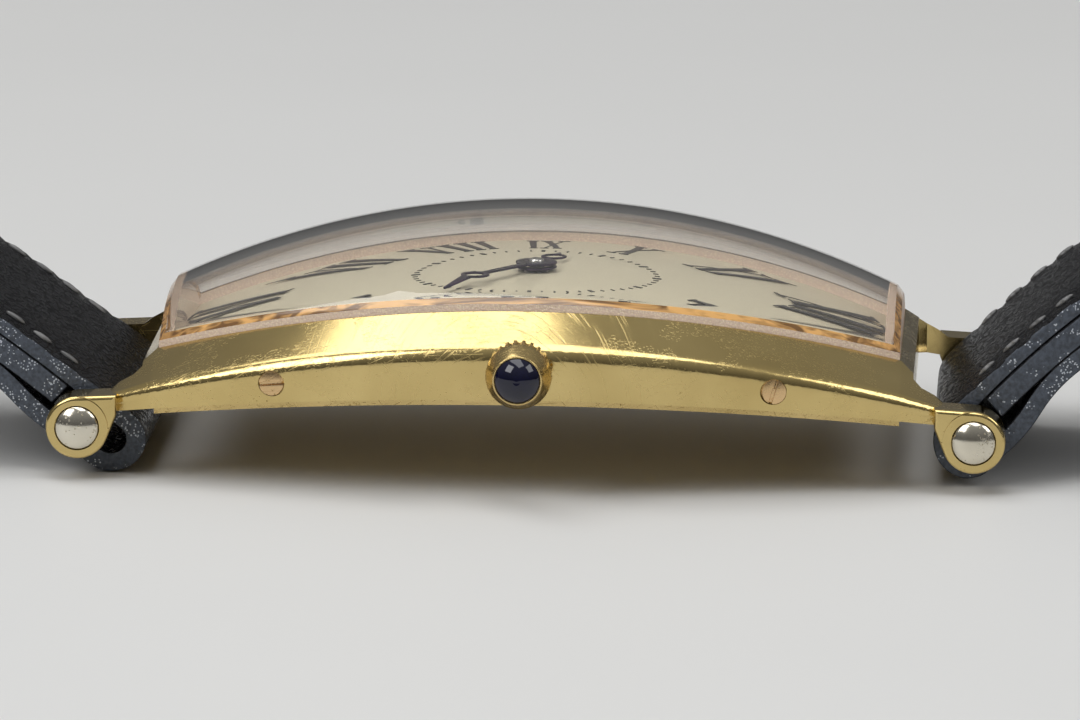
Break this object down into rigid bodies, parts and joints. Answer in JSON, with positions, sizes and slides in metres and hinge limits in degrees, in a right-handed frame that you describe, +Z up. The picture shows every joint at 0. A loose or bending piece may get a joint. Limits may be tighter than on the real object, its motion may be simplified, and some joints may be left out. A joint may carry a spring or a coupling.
{
  "type": "tonneau wristwatch",
  "caption": "Curved tonneau wristwatch with a bevelled crystal, screwed lug bars, a cabochon crown, a hand-wound movement and a two-piece leather strap with pin buckle.",
  "frame": {"origin": "on the table, under the middle of the whole watch with its strap laid out", "axes": "+X towards 12 o'clock along the strap, -Y towards the crown, +Z up through the dial"},
  "size_m": [0.2138, 0.0288, 0.0247],
  "materials": {
    "gold": "polished yellow gold with fine scratches",
    "gold_screws": "coppery gold screws",
    "bar_steel": "worn pale gold",
    "crystal_glass": "clear bevelled glass",
    "gasket": "pale seal",
    "dial_cream": "silvered cream with black numerals",
    "hand_dark": "dark blued steel",
    "sapphire": "dark blue polished stone",
    "tube_brass": "plain turned",
    "gilt_plates": "gilt",
    "gilt_wheels": "gilt wheels",
    "steel_works": "polished steel",
    "ruby": "ruby",
    "strap_leather": "black fine-grained leather",
    "strap_lining": "slate lining leather"
  },
  "bodies": {
    "root": {"case_front": "gold", "case_back": "gold", "case_screws": "gold_screws", "lug_bars": "bar_steel", "lug_bar_heads": "bar_steel", "crystal": "crystal_glass", "crystal_gasket": "gasket", "dial": "dial_cream", "crown_tube": "tube_brass", "setting_lever_spring": "steel_works", "click_spring": "steel_works", "main_plate": "gilt_plates", "barrel_bridge": "gilt_plates", "train_bridge": "gilt_plates", "balance_cock": "gilt_plates", "pallet_cock": "gilt_plates", "bridge_screws": "steel_works", "jewels": "ruby", "movement_ring": "tube_brass", "casing_screws": "steel_works"},
    "minute_hand_body": {"cannon_pinion": "steel_works", "minute_hand": "hand_dark"},
    "hour_hand_body": {"hour_wheel": "gilt_wheels", "hour_hand": "hand_dark"},
    "minute_wheel_body": {"minute_wheel": "gilt_wheels"},
    "setting_wheel_body": {"setting_wheel": "steel_works"},
    "winding_pinion_body": {"winding_pinion": "steel_works"},
    "crown_body": {"crown": "gold", "crown_cabochon": "sapphire", "winding_stem": "steel_works"},
    "sliding_pinion_body": {"sliding_pinion": "steel_works"},
    "setting_lever_body": {"setting_lever": "steel_works"},
    "yoke_body": {"yoke": "steel_works"},
    "crown_wheel_body": {"crown_wheel": "steel_works"},
    "ratchet_body": {"ratchet_wheel": "steel_works", "barrel_arbor": "steel_works"},
    "barrel_body": {"mainspring_barrel": "gilt_wheels", "mainspring": "steel_works"},
    "click_body": {"click": "steel_works"},
    "centre_wheel_body": {"centre_wheel": "gilt_wheels"},
    "third_wheel_body": {"third_wheel": "gilt_wheels"},
    "fourth_wheel_body": {"fourth_wheel": "gilt_wheels"},
    "escape_wheel_body": {"escape_wheel": "steel_works"},
    "pallet_fork_body": {"pallet_fork": "steel_works"},
    "balance_body": {"balance_wheel": "gilt_wheels", "hairspring": "steel_works"},
    "regulator_body": {"regulator": "steel_works"},
    "strap_12": {"strap_12_leather": "strap_leather", "strap_12_lining": "strap_lining", "fixed_keeper": "strap_leather"},
    "strap_6": {"strap_6_leather": "strap_leather", "strap_6_lining": "strap_lining"},
    "free_keeper_body": {"free_keeper": "strap_leather"},
    "buckle_body": {"buckle_frame": "gold", "buckle_bar": "gold"},
    "tang_body": {"buckle_tang": "gold"}
  },
  "joints": [
    {"name": "minute_hand_turn", "type": "hinge", "parent": "root", "child": "minute_hand_body", "pos_m": [0.01427, 0.00149, 0.008], "axis": [0, 0, -1], "continuous": true},
    {"name": "hour_hand_turn", "type": "hinge", "parent": "root", "child": "hour_hand_body", "pos_m": [0.01427, 0.00149, 0.008], "axis": [0, 0, -1], "continuous": true},
    {"name": "minute_wheel_turn", "type": "hinge", "parent": "root", "child": "minute_wheel_body", "pos_m": [0.01612, -0.00024, 0.007], "axis": [0, 0, -1], "continuous": true},
    {"name": "setting_wheel_turn", "type": "hinge", "parent": "root", "child": "setting_wheel_body", "pos_m": [0.0137, -0.00139, 0.007], "axis": [0, 0, -1], "continuous": true},
    {"name": "crown_turn", "type": "hinge", "parent": "root", "child": "winding_pinion_body", "pos_m": [0.01427, -0.00451, 0.0066], "axis": [0, -1, 0], "continuous": true},
    {"name": "crown_pull", "type": "slide", "parent": "winding_pinion_body", "child": "crown_body", "axis": [0, -1, 0], "range_m": [0, 0.0006]},
    {"name": "sliding_pinion_slide", "type": "slide", "parent": "winding_pinion_body", "child": "sliding_pinion_body", "axis": [0, 1, 0], "range_m": [0, 0.00033]},
    {"name": "setting_lever_turn", "type": "hinge", "parent": "root", "child": "setting_lever_body", "pos_m": [0.01687, -0.00581, 0.007], "axis": [0, 0, 1], "range_deg": [0, 15]},
    {"name": "yoke_turn", "type": "hinge", "parent": "root", "child": "yoke_body", "pos_m": [0.01167, -0.00541, 0.0068], "axis": [0, 0, 1], "range_deg": [0, 9]},
    {"name": "crown_wheel_turn", "type": "hinge", "parent": "root", "child": "crown_wheel_body", "pos_m": [0.01592, -0.00382, 0.0051], "axis": [0, 0, 1], "continuous": true},
    {"name": "ratchet_turn", "type": "hinge", "parent": "root", "child": "ratchet_body", "pos_m": [0.01878, 0.00085, 0.0051], "axis": [0, 0, 1], "continuous": true},
    {"name": "click_swing", "type": "hinge", "parent": "root", "child": "click_body", "pos_m": [0.02127, 0.00559, 0.0051], "axis": [0, 0, 1], "range_deg": [-2, 8], "stiffness_Nm_per_rad": 0.0000000005},
    {"name": "barrel_turn", "type": "hinge", "parent": "root", "child": "barrel_body", "pos_m": [0.01878, 0.00085, 0.006], "axis": [0, 0, 1], "continuous": true},
    {"name": "centre_wheel_turn", "type": "hinge", "parent": "root", "child": "centre_wheel_body", "pos_m": [0.01427, 0.00149, 0.006], "axis": [0, 0, 1], "continuous": true},
    {"name": "third_wheel_turn", "type": "hinge", "parent": "root", "child": "third_wheel_body", "pos_m": [0.01124, 0.00374, 0.006], "axis": [0, 0, 1], "continuous": true},
    {"name": "fourth_wheel_turn", "type": "hinge", "parent": "root", "child": "fourth_wheel_body", "pos_m": [0.00937, 0.00149, 0.006], "axis": [0, 0, 1], "continuous": true},
    {"name": "escape_wheel_turn", "type": "hinge", "parent": "root", "child": "escape_wheel_body", "pos_m": [0.00712, 0.00058, 0.006], "axis": [0, 0, 1], "continuous": true},
    {"name": "pallet_fork_swing", "type": "hinge", "parent": "root", "child": "pallet_fork_body", "pos_m": [0.00766, -0.00106, 0.006], "axis": [0, 0, 1], "range_deg": [-5, 5]},
    {"name": "balance_swing", "type": "hinge", "parent": "root", "child": "balance_body", "pos_m": [0.00846, -0.00351, 0.006], "axis": [0, 0, 1], "range_deg": [-270, 270], "stiffness_Nm_per_rad": 0.000000002},
    {"name": "regulator_turn", "type": "hinge", "parent": "root", "child": "regulator_body", "pos_m": [0.00846, -0.00351, 0.0052], "axis": [0, 0, 1], "range_deg": [-12, 12]},
    {"name": "strap_12_swing", "type": "hinge", "parent": "root", "child": "strap_12", "pos_m": [0.03617, 0.00149, 0.0027], "axis": [0, 1, 0], "range_deg": [-40, 85]},
    {"name": "strap_6_swing", "type": "hinge", "parent": "root", "child": "strap_6", "pos_m": [-0.00763, 0.00149, 0.0027], "axis": [0, -1, 0], "range_deg": [-40, 85]},
    {"name": "free_keeper_slide", "type": "hinge", "parent": "strap_12", "child": "free_keeper_body", "pos_m": [0.06472, 0.00149, -0.02686], "axis": [0, 1, 0], "range_deg": [-3, 11]},
    {"name": "buckle_swing", "type": "hinge", "parent": "strap_12", "child": "buckle_body", "pos_m": [0.09614, 0.00149, 0.00175], "axis": [0, 1, 0], "range_deg": [-60, 45]},
    {"name": "tang_swing", "type": "hinge", "parent": "buckle_body", "child": "tang_body", "pos_m": [0.09614, 0.00149, 0.00175], "axis": [0, -1, 0], "range_deg": [0, 95]}
  ],
  "couplings": [
    {"joint": "hour_hand_turn", "follows": "minute_hand_turn", "ratio": 0.083333},
    {"joint": "minute_wheel_turn", "follows": "minute_hand_turn", "ratio": -0.33333},
    {"joint": "setting_wheel_turn", "follows": "minute_hand_turn", "ratio": 0.8},
    {"joint": "sliding_pinion_slide", "follows": "crown_pull", "ratio": 0.55},
    {"joint": "setting_lever_turn", "follows": "crown_pull", "rad_per_m": 435.9},
    {"joint": "yoke_turn", "follows": "crown_pull", "rad_per_m": 261.54},
    {"joint": "crown_wheel_turn", "follows": "crown_turn", "ratio": 0.5},
    {"joint": "ratchet_turn", "follows": "crown_turn", "ratio": -0.26667},
    {"joint": "third_wheel_turn", "follows": "fourth_wheel_turn", "ratio": -0.13333},
    {"joint": "centre_wheel_turn", "follows": "fourth_wheel_turn", "ratio": 0.016667},
    {"joint": "barrel_turn", "follows": "fourth_wheel_turn", "ratio": -0.0023148},
    {"joint": "escape_wheel_turn", "follows": "fourth_wheel_turn", "ratio": -10}
  ]
}
